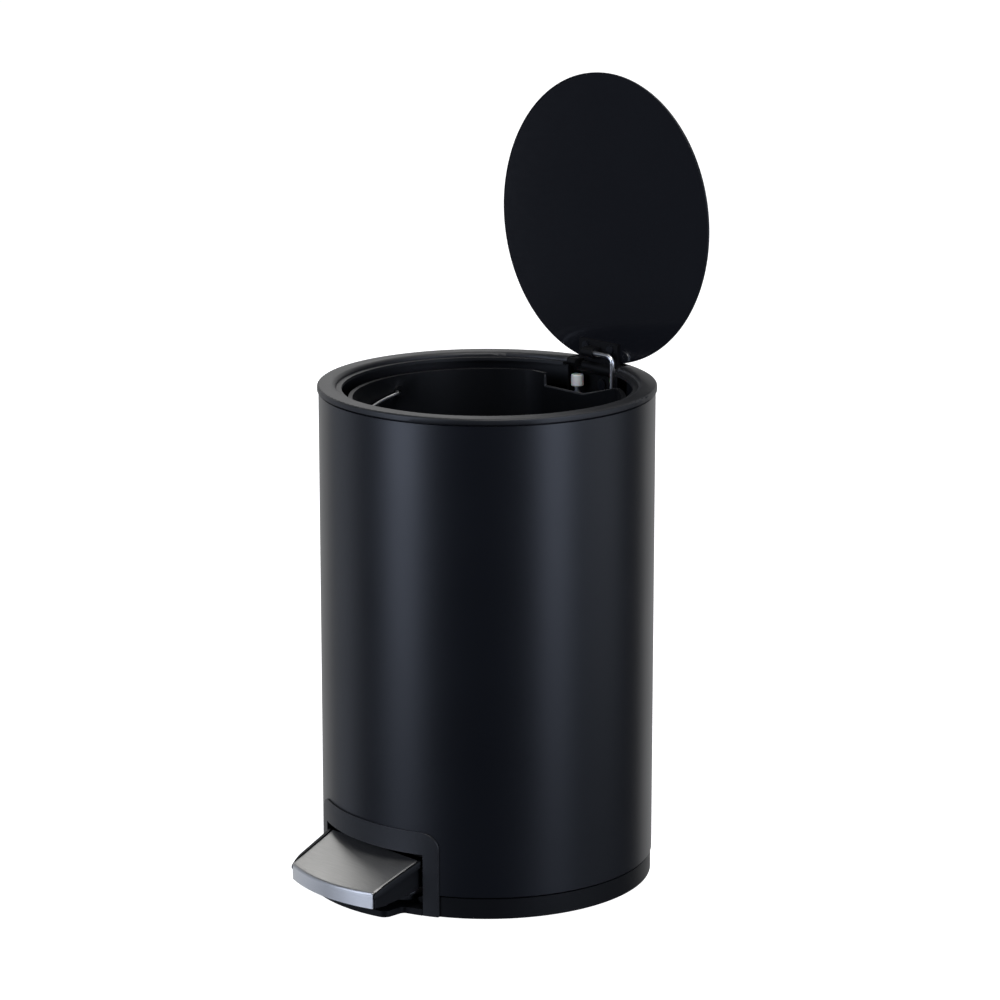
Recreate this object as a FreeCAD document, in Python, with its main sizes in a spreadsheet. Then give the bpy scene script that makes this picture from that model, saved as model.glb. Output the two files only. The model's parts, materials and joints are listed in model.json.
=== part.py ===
import FreeCAD, Part
import os
import Sketcher

# Pedal trash can, millimetres. The origin is the middle of the base on the floor, Z is up, the pedal
# points to -Y, the lid hinge is at +Y. Everything stands as it rests: lid open, pedal down, bail forward.

doc = FreeCAD.newDocument("pedal_trash_can")
sheet = doc.addObject("Spreadsheet::Sheet", "size")

DIMENSIONS = [
    ("shell_radius", 85.0, "outside of the steel shell"),
    ("shell_wall", 0.6, "steel sheet of the shell"),
    ("body_height", 256.0, "floor to the top of the rim ring"),
    ("fit_gap", 0.2, "gap between parts pushed into each other"),
    ("contact_gap", 0.05, "gap where one part only rests on another"),
    ("shaft_gap", 0.05, "radial running clearance of a pin in its bore"),
    ("ring_proud", 0.7, "rim ring outside the shell"),
    ("ring_cap", 2.8, "height of the rim ring above the shell"),
    ("seam_gap", 0.9, "shadow groove between ring and shell"),
    ("base_seam", 0.7, "shadow groove between base and shell"),
    ("seam_depth", 1.2, "extra depth of both grooves behind the shell"),
    ("ring_inner", 76.2, "inside radius of the rim ring"),
    ("ring_round", 1.1, "rounding of the ring's outer top edge"),
    ("ring_lead", 2.0, "rounding of the ring's inner top edge"),
    ("skirt_wall", 2.0, "ring skirt inside the shell"),
    ("skirt_drop", 14.0, "ring skirt below the shell's edge"),
    ("ledge_inner", 73.4, "inside radius of the lid's ledge"),
    ("ledge_drop", 2.35, "ledge below the ring's top"),
    ("ledge_wall", 1.6, "thickness of the ledge"),
    ("notch_half", 18.9, "half width of the ring's hinge notch"),
    ("notch_reach", 82.7, "depth of the hinge notch from the axis of the can"),
    ("base_radius", 84.5, "visible band of the base"),
    ("base_height", 11.0, "top of the visible band"),
    ("base_lift", 0.6, "band above the floor"),
    ("base_wall", 2.2, "wall of the base"),
    ("spigot_height", 8.0, "base collar inside the shell"),
    ("floor_low", 1.5, "underside of the base plate"),
    ("floor_top", 3.5, "upper side of the base plate"),
    ("tongue_half", 26.5, "half width of the foot under the pedal"),
    ("tongue_reach", 98.1, "foot's front edge from the axis of the can"),
    ("tongue_top", 3.9, "upper side of the foot and the opening's sill"),
    ("tongue_round", 80.0, "radius of the foot's front"),
    ("tongue_corner", 4.5, "rounding of the foot's front corners"),
    ("tongue_root", 3.0, "rounding where the foot meets the sill"),
    ("bezel_half", 43.8, "half width of the bezel"),
    ("bezel_top", 44.2, "top of the bezel"),
    ("bezel_corner", 8.5, "radius of the bezel's upper corners"),
    ("bezel_proud", 0.95, "bezel outside the shell"),
    ("plug_half", 39.0, "half width of the bezel's plug in the shell"),
    ("plug_top", 34.8, "top of the plug"),
    ("opening_half", 36.5, "half width of the pedal opening"),
    ("opening_top", 32.4, "top of the pedal opening"),
    ("foot_inner", 72.5, "inside radius of the rubber ring under the base"),
    ("foot_width", 6.0, "width of the rubber ring"),
    ("deck_radius", 81.6, "outside of the inner deck"),
    ("deck_wall", 1.6, "walls of the deck"),
    ("deck_low", 24.0, "underside of the deck"),
    ("deck_top", 26.0, "upper side of the deck"),
    ("deck_front", 64.0, "front cut of the deck for the pedal"),
    ("ridge_inner", 64.2, "inside radius of the ridge that centres the bucket"),
    ("pivot_back", 58.0, "pedal pivot in front of the can's axis"),
    ("pivot_height", 12.55, "pedal pivot above the floor"),
    ("pivot_radius", 2.0, "pedal pivot pin"),
    ("lever_tilt", 2.8, "slope of the lever at rest, degrees"),
    ("lever_wall", 2.0, "steel of the lever"),
    ("lever_half", 6.0, "half width of the lever"),
    ("pedal_back", 77.4, "rear edge of the pedal's tread"),
    ("pedal_back_height", 28.6, "tread height at its rear edge"),
    ("pedal_front", 111.5, "front of the pedal"),
    ("pedal_slope", 20.05, "slope of the tread, degrees"),
    ("pedal_round", 85.0, "radius of the pedal's front"),
    ("tread_back_half", 32.9, "half width of the steel tread at the rear"),
    ("tread_front_half", 30.4, "half width of the steel tread at the front"),
    ("tread_wall", 0.9, "steel of the tread"),
    ("tread_lip", 9.5, "lower edge of the tread's front lip"),
    ("skirt_side", 0.9, "pedal body outside the steel tread"),
    ("pedal_wall", 2.0, "walls of the pedal body"),
    ("arm_inner", 25.0, "inner side of the pedal's arms"),
    ("arm_outer", 29.0, "outer side of the pedal's arms"),
    ("arm_low", 7.5, "underside of the arms"),
    ("arm_high", 17.5, "top of the arms"),
    ("wire_side", 30.0, "stiffening wires of the pedal beside the middle"),
    ("wire_height", 11.7, "stiffening wires above the floor"),
    ("wire_radius", 1.3, "stiffening wires"),
    ("wire_front", 95.0, "front ends of the stiffening wires"),
    ("wire_back", 68.0, "rear ends of the stiffening wires"),
    ("post_outer", 35.0, "outer side of the pivot posts"),
    ("clamp_top", 18.0, "top of the pivot clamps"),
    ("hinge_back", 78.0, "lid hinge behind the can's axis"),
    ("hinge_height", 252.0, "lid hinge above the floor"),
    ("hinge_radius", 1.5, "lid hinge pin"),
    ("barrel_radius", 3.2, "barrel of the lid arm"),
    ("bracket_half", 18.4, "half width of the hinge bracket"),
    ("ear_wall", 2.2, "ears of the hinge bracket"),
    ("ear_radius", 4.0, "round end of the ears"),
    ("bracket_low", 205.0, "lower end of the bracket"),
    ("bracket_top", 250.0, "top of the bracket's back plate"),
    ("bracket_front", 81.1, "front of the bracket's back plate"),
    ("rivet_radius", 1.6, "rivets of the bracket"),
    ("rivet_head", 3.0, "rivet heads"),
    ("rivet_dome", 0.8, "height of the rivet heads"),
    ("rivet_inset", 7.0, "upper rivet below the bracket's top"),
    ("rivet_spacing", 21.0, "between the rivets"),
    ("screw_hole", 1.1, "pilot holes and shanks of the small screws"),
    ("clamp_screw_side", 5.4, "clamp screws in front of and behind the pivot"),
    ("base_screw", 1.25, "shanks of the base screws"),
    ("base_screw_head", 3.0, "heads of the base screws"),
    ("boss_wall", 3.6, "radius of the deck's screw bosses"),
    ("post_length", 8.0, "pivot posts in front of and behind the pivot"),
    ("strap_slot", 3.6, "half width of the deck's slot for the lift rod"),
    ("deck_mouth", 38.0, "half width of the deck's opening for the pedal"),
    ("ridge_height", 1.6, "ridge that centres the bucket"),
    ("arm_half", 14.0, "half width of the lid arm's plate"),
    ("arm_plate", 1.8, "thickness of the lid arm's plate"),
    ("arm_reach", 14.5, "lid arm's plate in front of the hinge"),
    ("barrel_length", 28.0, "barrel on the hinge pin"),
    ("lug_radius", 2.8, "lug that takes the rod's hook"),
    ("lug_left", 6.0, "lug left of the middle"),
    ("lug_right", 1.5, "lug right of the middle"),
    ("heel_radius", 1.8, "nose that presses the damper"),
    ("heel_width", 5.4, "width of that nose"),
    ("heel_left", 15.4, "its left side from the middle"),
    ("touch_gap", 0.15, "gap where one moving part pushes another"),
    ("clip_radius", 3.2, "collar on the lift rod"),
    ("clip_height", 3.0, "height of the collar"),
    ("damper_rod", 1.5, "plunger rod of the damper"),
    ("cap_round", 0.8, "rounding of the damper cap"),
    ("lid_radius", 75.0, "lid"),
    ("lid_drop", 2.3, "closed lid's underside below the ring's top"),
    ("lid_thick", 1.3, "lid"),
    ("lid_skin", 0.5, "steel of the lid"),
    ("liner_thick", 0.8, "liner of the lid"),
    ("lid_opening", 91.0, "opening angle of the lid, degrees"),
    ("hook_ahead", 4.0, "rod hook in front of the hinge axis, lid open"),
    ("hook_above", 8.7, "rod hook above the hinge axis, lid open"),
    ("rod_radius", 1.25, "lift rod wire"),
    ("rod_bend", 3.5, "bend of the lift rod"),
    ("rod_side", 14.5, "lift rod beside the middle"),
    ("rod_low", 16.6, "lower end of the lift rod"),
    ("damper_side", 12.7, "damper beside the middle"),
    ("damper_back", 75.7, "damper behind the can's axis"),
    ("damper_radius", 5.2, "damper cylinder"),
    ("damper_low", 207.0, "lower end of the damper cylinder"),
    ("damper_top", 236.0, "top of the damper cylinder"),
    ("cap_low", 241.2, "underside of the damper cap"),
    ("cap_high", 247.5, "top of the damper cap"),
    ("cap_radius", 3.3, "damper cap"),
    ("bucket_top", 248.9, "bucket rim"),
    ("bucket_low", 26.6, "underside of the bucket"),
    ("bucket_top_radius", 69.4, "bucket below its rim"),
    ("bucket_low_radius", 62.8, "bucket at its bottom"),
    ("bucket_wall", 1.5, "bucket wall"),
    ("bucket_lip", 0.7, "rim outside the bucket wall"),
    ("bucket_flat", 61.5, "flat at the back of the bucket"),
    ("notch_low", 241.7, "lowered rim at the back of the bucket"),
    ("bucket_notch_left", 21.5, "left end of the lowered rim"),
    ("bucket_notch_right", 7.5, "where the lowered rim starts to rise on the right"),
    ("bucket_notch_end", 30.5, "where it reaches full height again"),
    ("boss_radius", 3.0, "bosses inside the bucket around the bail's ends"),
    ("boss_inner", 66.6, "inner faces of the bosses from the middle"),
    ("bail_height", 240.8, "bail pivots above the floor"),
    ("bail_radius", 65.0, "bow of the bail"),
    ("bail_wire", 0.9, "radius of the bail wire"),
    ("bail_end", 69.0, "tips of the bail from the middle"),
    ("bail_drop", 8.0, "folded bail below the horizontal, degrees"),
]

for row, (alias, number, meaning) in enumerate(DIMENSIONS, start=1):
    sheet.set("A%d" % row, alias)
    sheet.set("B%d" % row, str(number))
    sheet.setAlias("B%d" % row, alias)
    sheet.set("C%d" % row, meaning)
doc.recompute()

NODES = []


# --- helpers -------------------------------------------------------------------------------------


def value(expression):
    """The number that an expression over the sheet has now."""
    return float(sheet.evalExpression(expression))


def node(thing, label):
    """Name a finished sub-part and list it for export."""
    thing.Label = label
    NODES.append(thing)
    return thing


def place(thing, x="0", y="0", z="0", rotation=None):
    """Put an object at bound coordinates, optionally turned."""
    if rotation is not None:
        thing.Placement = FreeCAD.Placement(FreeCAD.Vector(), rotation)
    thing.setExpression("Placement.Base.x", x)
    thing.setExpression("Placement.Base.y", y)
    thing.setExpression("Placement.Base.z", z)
    return thing


ALONG_X = FreeCAD.Rotation(FreeCAD.Vector(0, 1, 0), 90)
ALONG_Y = FreeCAD.Rotation(FreeCAD.Vector(1, 0, 0), -90)


def cylinder(name, radius, length, x="0", y="0", z="0", rotation=None):
    rod = doc.addObject("Part::Cylinder", name)
    rod.setExpression("Radius", radius)
    rod.setExpression("Height", length)
    return place(rod, x, y, z, rotation)


def box(name, low, high):
    """A box between two corners given as expressions."""
    block = doc.addObject("Part::Box", name)
    for side, start, end in zip(("Length", "Width", "Height"), low, high):
        block.setExpression(side, "(%s) - (%s)" % (end, start))
    return place(block, *low)


def fuse(name, things):
    whole = doc.addObject("Part::MultiFuse", name)
    whole.Shapes = things
    return whole


def common(name, things):
    whole = doc.addObject("Part::MultiCommon", name)
    whole.Shapes = things
    return whole


def cut(name, thing, tools):
    """Take away one or more tools from a thing."""
    whole = doc.addObject("Part::Cut", name)
    whole.Base = thing
    whole.Tool = tools[0] if len(tools) == 1 else fuse(name + "_tools", tools)
    return whole


def group(label, things):
    """Identical pieces kept as separate solids of one sub-part."""
    whole = doc.addObject("Part::Compound", label)
    whole.Links = things
    return node(whole, label)


def new_sketch(body, role):
    sketch = body.newObject("Sketcher::SketchObject", body.Name + "_sketch")
    plane = next(item for item in body.Origin.OriginFeatures if item.Role == role)
    sketch.AttachmentSupport = (plane, [""])
    sketch.MapMode = "FlatFace"
    return sketch


def polygon(sketch, points):
    """A closed outline whose corners are bound to expressions (across, up)."""
    numbers = [FreeCAD.Vector(value(across), value(up), 0) for across, up in points]
    count = len(points)
    for i in range(count):
        sketch.addGeometry(Part.LineSegment(numbers[i], numbers[(i + 1) % count]), False)
    for i in range(count):
        sketch.addConstraint(Sketcher.Constraint("Coincident", i, 2, (i + 1) % count, 1))
    for i, (across, up) in enumerate(points):
        for kind, text, number in (("DistanceX", across, numbers[i].x), ("DistanceY", up, numbers[i].y)):
            if number < 0:
                ends = (i, 1, -1, 1, -number)
                text = "-(%s)" % text
            else:
                ends = (-1, 1, i, 1, number)
            index = sketch.addConstraint(Sketcher.Constraint(kind, *ends))
            sketch.setExpression("Constraints[%d]" % index, text)


def turned(name, points):
    """A ring: an outline in (radius, height) turned about the can's axis."""
    body = doc.addObject("PartDesign::Body", name)
    sketch = new_sketch(body, "XZ_Plane")
    polygon(sketch, points)
    turn = body.newObject("PartDesign::Revolution", name + "_turn")
    turn.Profile = sketch
    turn.ReferenceAxis = (sketch, ["V_Axis"])
    turn.Angle = 360
    body.Tip = turn
    return body


def slab(name, role, points, length, offset="0"):
    """An outline drawn on an origin plane and padded to both sides of an offset plane."""
    body = doc.addObject("PartDesign::Body", name)
    sketch = new_sketch(body, role)
    polygon(sketch, points)
    sketch.setExpression("AttachmentOffset.Base.z", offset)
    pad = body.newObject("PartDesign::Pad", name + "_pad")
    pad.Profile = sketch
    pad.Midplane = True
    pad.setExpression("Length", length)
    body.Tip = pad
    return body


def round_edges(body, radius, wanted):
    """Fillet the edges of a body's tip that a test picks."""
    doc.recompute()
    tip = body.Tip
    names = ["Edge%d" % (i + 1) for i, edge in enumerate(tip.Shape.Edges) if wanted(edge)]
    rounding = body.newObject("PartDesign::Fillet", body.Name + "_rounding")
    rounding.Base = (tip, names)
    rounding.setExpression("Radius", radius)
    body.Tip = rounding
    return body


def screw(name, head_radius, head_height, shank_radius, shank_length, x, y, z, down):
    """A screw whose head starts at z; its shank runs down or up from there."""
    if down:
        head = cylinder(name + "_head", head_radius, head_height, x, y, z)
        shank = cylinder(name + "_shank", shank_radius, shank_length, x, y, "%s - %s" % (z, shank_length))
    else:
        head = cylinder(name + "_head", head_radius, head_height, x, y, "%s - %s" % (z, head_height))
        shank = cylinder(name + "_shank", shank_radius, shank_length, x, y, z)
    return fuse(name, [head, shank])


SHELL_INNER = "(size.shell_radius - size.shell_wall)"
SHELL_TOP = "(size.body_height - size.ring_cap - size.seam_gap)"
RING_OUTER = "(size.shell_radius + size.ring_proud)"
RING_LOW = "(size.body_height - size.ring_cap)"
LEDGE_TOP = "(size.body_height - size.ledge_drop)"
SKIRT_OUTER = "(%s - size.fit_gap)" % SHELL_INNER
SKIRT_INNER = "(%s - size.skirt_wall)" % SKIRT_OUTER
SPIGOT_OUTER = "(%s - size.fit_gap)" % SHELL_INNER
SPIGOT_INNER = "(%s - size.base_wall)" % SPIGOT_OUTER
SPIGOT_TOP = "(size.base_height + size.spigot_height)"


# --- shell, rim ring and base --------------------------------------------------------------------


RIVET_LEVELS = ("size.bracket_top - size.rivet_inset",
                "size.bracket_top - size.rivet_inset - size.rivet_spacing")


def rivet_hole(name, level):
    """Hole from front to back through bracket and shell."""
    return cylinder(name, "size.rivet_radius + size.contact_gap", "12", "0", "size.shell_radius - 6", level,
                    ALONG_Y)


def outer_shell():
    """Rolled steel tube with a cut-out for the bezel and two rivet holes at the back."""
    tube = turned("shell_tube", [
        (SHELL_INNER, "size.base_height + size.base_seam"),
        ("size.shell_radius", "size.base_height + size.base_seam"),
        ("size.shell_radius", SHELL_TOP),
        (SHELL_INNER, SHELL_TOP),
    ])
    side = "size.plug_half + size.fit_gap"
    mouth = box("shell_mouth", ("-(%s)" % side, "-size.shell_radius - 2", "0"),
                (side, "-size.shell_radius / 2", "size.plug_top + size.fit_gap"))
    holes = [rivet_hole("shell_hole_%d" % i, level) for i, level in enumerate(RIVET_LEVELS)]
    node(cut("outer_shell", tube, [mouth] + holes), "outer_shell")


def rim_ring():
    """Plastic ring on the shell's edge: rounded cap, ledge for the lid, skirt inside the shell."""
    ring = turned("ring_body", [
        ("size.ledge_inner", LEDGE_TOP),
        ("size.ring_inner", LEDGE_TOP),
        ("size.ring_inner", "size.body_height"),
        (RING_OUTER, "size.body_height"),
        (RING_OUTER, RING_LOW),
        ("%s - size.seam_depth" % SKIRT_OUTER, RING_LOW),
        ("%s - size.seam_depth" % SKIRT_OUTER, "%s - 2 * size.seam_gap" % RING_LOW),
        (SKIRT_OUTER, "%s - 2 * size.seam_gap" % RING_LOW),
        (SKIRT_OUTER, "%s - size.skirt_drop" % RING_LOW),
        (SKIRT_INNER, "%s - size.skirt_drop" % RING_LOW),
        (SKIRT_INNER, "%s - size.ledge_wall" % LEDGE_TOP),
        ("size.ledge_inner", "%s - size.ledge_wall" % LEDGE_TOP),
    ])
    top = value("size.body_height")
    middle = value("(size.ring_inner + size.shell_radius) / 2")

    def at_top(edge, outer):
        return abs(edge.BoundBox.ZMin - top) < 0.01 and (edge.BoundBox.XMax > middle) == outer

    round_edges(ring, "size.ring_round", lambda edge: at_top(edge, True))
    round_edges(ring, "size.ring_lead", lambda edge: at_top(edge, False))
    notch = box("ring_notch", ("-size.notch_half", "size.ledge_inner - 15", "%s - 40" % RING_LOW),
                ("size.notch_half", "size.notch_reach", "size.body_height + 2"))
    relief = box("ring_relief", ("-size.notch_half", "size.ledge_inner - 15", "%s - 40" % RING_LOW),
                 ("size.notch_half", "size.shell_radius + 5", RING_LOW))
    node(cut("rim_ring", ring, [notch, relief]), "rim_ring")


def front_foot():
    """Sill of the pedal opening and the foot in front of it, with soft corners."""
    half = "size.opening_half - size.fit_gap"
    back = "-size.foot_inner"
    sill = common("foot_sill", [
        box("sill_block", ("-(%s)" % half, "-size.shell_radius - 5", "size.base_lift"),
            (half, back, "size.tongue_top")),
        cylinder("sill_round", "size.shell_radius + size.bezel_proud", "size.tongue_top")])
    tongue = common("foot_tongue", [
        box("tongue_block", ("-size.tongue_half", "-size.tongue_reach", "size.base_lift"),
            ("size.tongue_half", back, "size.tongue_top")),
        cylinder("tongue_front", "size.tongue_round", "size.tongue_top", "0",
                 "size.tongue_round - size.tongue_reach")])
    foot = doc.addObject("PartDesign::Body", "front_foot")
    rough = foot.newObject("PartDesign::FeatureBase", "foot_rough")
    rough.BaseFeature = fuse("foot_pieces", [sill, tongue])
    foot.Tip = rough
    side = value("size.tongue_half")
    bend = -value("size.shell_radius + 5")

    def upright(edge):
        size = edge.BoundBox
        return size.XLength < 0.01 and size.YLength < 0.01 and abs(abs(size.XMin) - side) < 0.01

    round_edges(foot, "size.tongue_corner", lambda edge: upright(edge) and edge.BoundBox.YMin < bend)
    round_edges(foot, "size.tongue_root", lambda edge: upright(edge) and edge.BoundBox.YMin > bend)
    return foot


def base_tray():
    """Moulded base: outer band, collar inside the shell, plate, foot under the pedal, pivot posts."""
    band = turned("base_band", [
        ("size.base_radius - size.base_wall", "size.base_lift"),
        ("size.base_radius", "size.base_lift"),
        ("size.base_radius", "size.base_height"),
        ("%s - size.seam_depth" % SPIGOT_OUTER, "size.base_height"),
        ("%s - size.seam_depth" % SPIGOT_OUTER, "size.base_height + 2 * size.base_seam"),
        (SPIGOT_OUTER, "size.base_height + 2 * size.base_seam"),
        (SPIGOT_OUTER, SPIGOT_TOP),
        (SPIGOT_INNER, SPIGOT_TOP),
        (SPIGOT_INNER, "size.base_height - size.base_wall"),
        ("size.base_radius - size.base_wall", "size.base_height - size.base_wall"),
    ])
    side = "size.plug_half + size.fit_gap"
    gate = box("base_gate", ("-(%s)" % side, "-size.base_radius - 2", "-1"),
               (side, "-size.base_radius / 2", "%s + 1" % SPIGOT_TOP))
    plate = cylinder("base_plate", "size.base_radius - size.base_wall + 0.1",
                     "size.floor_top - size.floor_low", "0", "0", "size.floor_low")
    pieces = [cut("base_band_open", band, [gate]), plate, front_foot()]
    for side_name, sign in (("left", -1), ("right", 1)):
        pieces.append(pivot_block("post_" + side_name, sign, "size.floor_top - 0.5", "size.pivot_height"))
    solid = fuse("base_solid", pieces)
    saddle = cylinder("base_saddle", "size.pivot_radius", "2 * size.post_outer + 10",
                      "-size.post_outer - 5", "-size.pivot_back", "size.pivot_height", ALONG_X)
    well = cylinder("base_well", "size.foot_inner + size.foot_width + size.contact_gap", "size.floor_low")
    tools = [saddle, well]
    for i, (x, y) in enumerate(CLAMP_SCREWS):
        tools.append(cylinder("post_hole_%d" % i, "size.screw_hole", "8", x, y, "size.pivot_height - 7"))
    for i, (x, y) in enumerate(BASE_SCREWS):
        tools.append(cylinder("tray_hole_%d" % i, "size.base_screw + size.touch_gap", "10", x, y, "-1"))
    node(cut("base_tray", solid, tools), "base_tray")


def pick(sign, negative, positive):
    """The expression for the left (negative) or right (positive) side."""
    return positive if sign > 0 else negative


def pivot_block(name, sign, low, high):
    """Block beside a pedal arm that holds the end of the pivot pin: post below, clamp above."""
    near = pick(sign, "-size.post_outer", "size.arm_outer + 1")
    far = pick(sign, "-size.arm_outer - 1", "size.post_outer")
    return box(name, (near, "-size.pivot_back - size.post_length", low),
               (far, "-size.pivot_back + size.post_length", high))


POST_MIDDLE = "(size.post_outer + size.arm_outer + 1) / 2"
CLAMP_SCREWS = [("%s%s" % (side, POST_MIDDLE), "-size.pivot_back %s size.clamp_screw_side" % way)
                for side in ("-", "") for way in ("-", "+")]
BASE_SCREWS = [("60", "-10"), ("-60", "-10"), ("-20", "66")]


def pedal_bezel():
    """Surround of the pedal opening: thin flange on the shell, plug in the cut-out."""
    flange_ring = turned("bezel_ring", [
        ("size.shell_radius + size.contact_gap", "size.base_lift"),
        ("size.shell_radius + size.bezel_proud", "size.base_lift"),
        ("size.shell_radius + size.bezel_proud", "size.bezel_top"),
        ("size.shell_radius + size.contact_gap", "size.bezel_top"),
    ])
    face_low = box("bezel_face", ("-size.bezel_half", "-size.shell_radius - 5", "0"),
                   ("size.bezel_half", "-size.shell_radius / 2", "size.bezel_top - size.bezel_corner"))
    face_high = box("bezel_brow", ("-size.bezel_half + size.bezel_corner", "-size.shell_radius - 5", "0"),
                    ("size.bezel_half - size.bezel_corner", "-size.shell_radius / 2", "size.bezel_top"))
    corners = [cylinder("bezel_corner_" + name, "size.bezel_corner", "size.shell_radius / 2 + 5",
                        "%s(size.bezel_half - size.bezel_corner)" % sign, "-size.shell_radius - 5",
                        "size.bezel_top - size.bezel_corner", ALONG_Y)
               for name, sign in (("left", "-"), ("right", ""))]
    flange = common("bezel_flange", [flange_ring, fuse("bezel_outline", [face_low, face_high] + corners)])
    plug_inner = "size.base_radius - size.base_wall + size.fit_gap"
    plug_ring = turned("plug_ring", [
        (plug_inner, "size.base_lift"),
        ("size.shell_radius + 0.1", "size.base_lift"),
        ("size.shell_radius + 0.1", "size.plug_top"),
        (plug_inner, "size.plug_top"),
    ])
    plug_face = box("plug_face", ("-size.plug_half", "-size.shell_radius - 5", "0"),
                    ("size.plug_half", "-size.shell_radius / 2", "size.plug_top"))
    plug = common("bezel_plug", [plug_ring, plug_face])
    window = box("bezel_window", ("-size.opening_half", "-size.shell_radius - 5", "size.tongue_top"),
                 ("size.opening_half", "-size.shell_radius / 2", "size.opening_top"))
    foot_gap = box("bezel_foot_gap", ("-size.opening_half", "-size.shell_radius - 5", "0"),
                   ("size.opening_half", "-size.shell_radius / 2", "size.tongue_top + 1"))
    node(cut("pedal_bezel", fuse("bezel_solid", [flange, plug]), [window, foot_gap]), "pedal_bezel")


def base_deck():
    """Inverted tray over the mechanism; the bucket stands on it."""
    deck = turned("deck_body", [
        ("0", "size.deck_low"),
        ("size.deck_radius - size.deck_wall", "size.deck_low"),
        ("size.deck_radius - size.deck_wall", "size.floor_top + size.contact_gap"),
        ("size.deck_radius", "size.floor_top + size.contact_gap"),
        ("size.deck_radius", "size.deck_top"),
        ("size.ridge_inner + size.deck_wall", "size.deck_top"),
        ("size.ridge_inner + size.deck_wall", "size.deck_top + size.ridge_height"),
        ("size.ridge_inner", "size.deck_top + size.ridge_height"),
        ("size.ridge_inner", "size.deck_top"),
        ("0", "size.deck_top"),
    ])
    bosses = [cylinder("deck_boss_%d" % i, "size.boss_wall", "size.deck_low - size.floor_top", x, y,
                       "size.floor_top + size.contact_gap") for i, (x, y) in enumerate(BASE_SCREWS)]
    front = box("deck_mouth", ("-size.deck_mouth", "-size.deck_radius - 2", "0"),
                ("size.deck_mouth", "-size.deck_front", "size.deck_top + 5"))
    slot = box("deck_slot", ("size.rod_side - size.strap_slot", "size.hinge_back - 11.5", "0"),
               ("size.rod_side + size.strap_slot", "size.hinge_back", "size.deck_top + 5"))
    holes = [cylinder("boss_hole_%d" % i, "size.base_screw", "14", x, y, "0")
             for i, (x, y) in enumerate(BASE_SCREWS)]
    node(cut("base_deck", fuse("deck_solid", [deck] + bosses), [front, slot] + holes), "base_deck")


def base_fasteners():
    """Screws that hold the deck to the base, and the rubber ring that the can stands on."""
    group("base_screws", [
        screw("base_screw_%d" % i, "size.base_screw_head", "0.7", "size.base_screw", "10", x, y,
              "size.floor_low", False)
        for i, (x, y) in enumerate(BASE_SCREWS)])
    node(turned("foot_ring", [
        ("size.foot_inner", "0"),
        ("size.foot_inner + size.foot_width", "0"),
        ("size.foot_inner + size.foot_width", "size.floor_low"),
        ("size.foot_inner", "size.floor_low"),
    ]), "foot_ring")


# --- pedal ---------------------------------------------------------------------------------------


def tread_height(ahead, below="0"):
    """Height of the tread's top, less a depth, at a distance in front of the can's axis."""
    fall = "tan(size.pedal_slope * 1 deg) * (%s - size.pedal_back)" % ahead
    return "size.pedal_back_height - %s - (%s)" % (fall, below)


def pedal_wedge(name, below, low, inset_side, inset_front, back="size.pedal_back"):
    """The pedal's outer form moved inwards: side profile, plan and round front together."""
    profile = slab(name + "_profile", "YZ_Plane", [
        ("-(%s)" % back, low),
        ("-(%s)" % back, tread_height(back, below)),
        ("-size.pedal_front - 3", tread_height("size.pedal_front + 3", below)),
        ("-size.pedal_front - 3", low),
    ], "100")
    wide = "(size.tread_back_half - (%s))" % inset_side
    narrow = "(size.tread_front_half - (%s))" % inset_side
    plan = slab(name + "_plan", "XY_Plane", [
        ("-" + wide, "-size.pedal_back + 3"),
        ("-" + narrow, "-size.pedal_front"),
        (narrow, "-size.pedal_front"),
        (wide, "-size.pedal_back + 3"),
    ], "100")
    front = cylinder(name + "_front", "size.pedal_round - (%s)" % inset_front, "60", "0",
                     "size.pedal_round - size.pedal_front", "-5")
    return common(name, [profile, plan, front])


def pedal_cap():
    """Brushed steel tread bent down over the front of the pedal."""
    whole = pedal_wedge("tread_whole", "0", "size.tread_lip", "0", "0")
    inside = pedal_wedge("tread_inside", "size.tread_wall", "size.tread_lip - 1", "-5", "size.tread_wall",
                         "size.pedal_back - 1")
    node(cut("pedal_cap", whole, [inside]), "pedal_cap")


def lever_height(back, below="0"):
    """Height of the lever's top, less a depth, at a distance behind the can's axis."""
    return "size.pivot_height + tan(size.lever_tilt * 1 deg) * (%s + size.pivot_back) - (%s)" % (back, below)


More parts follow.
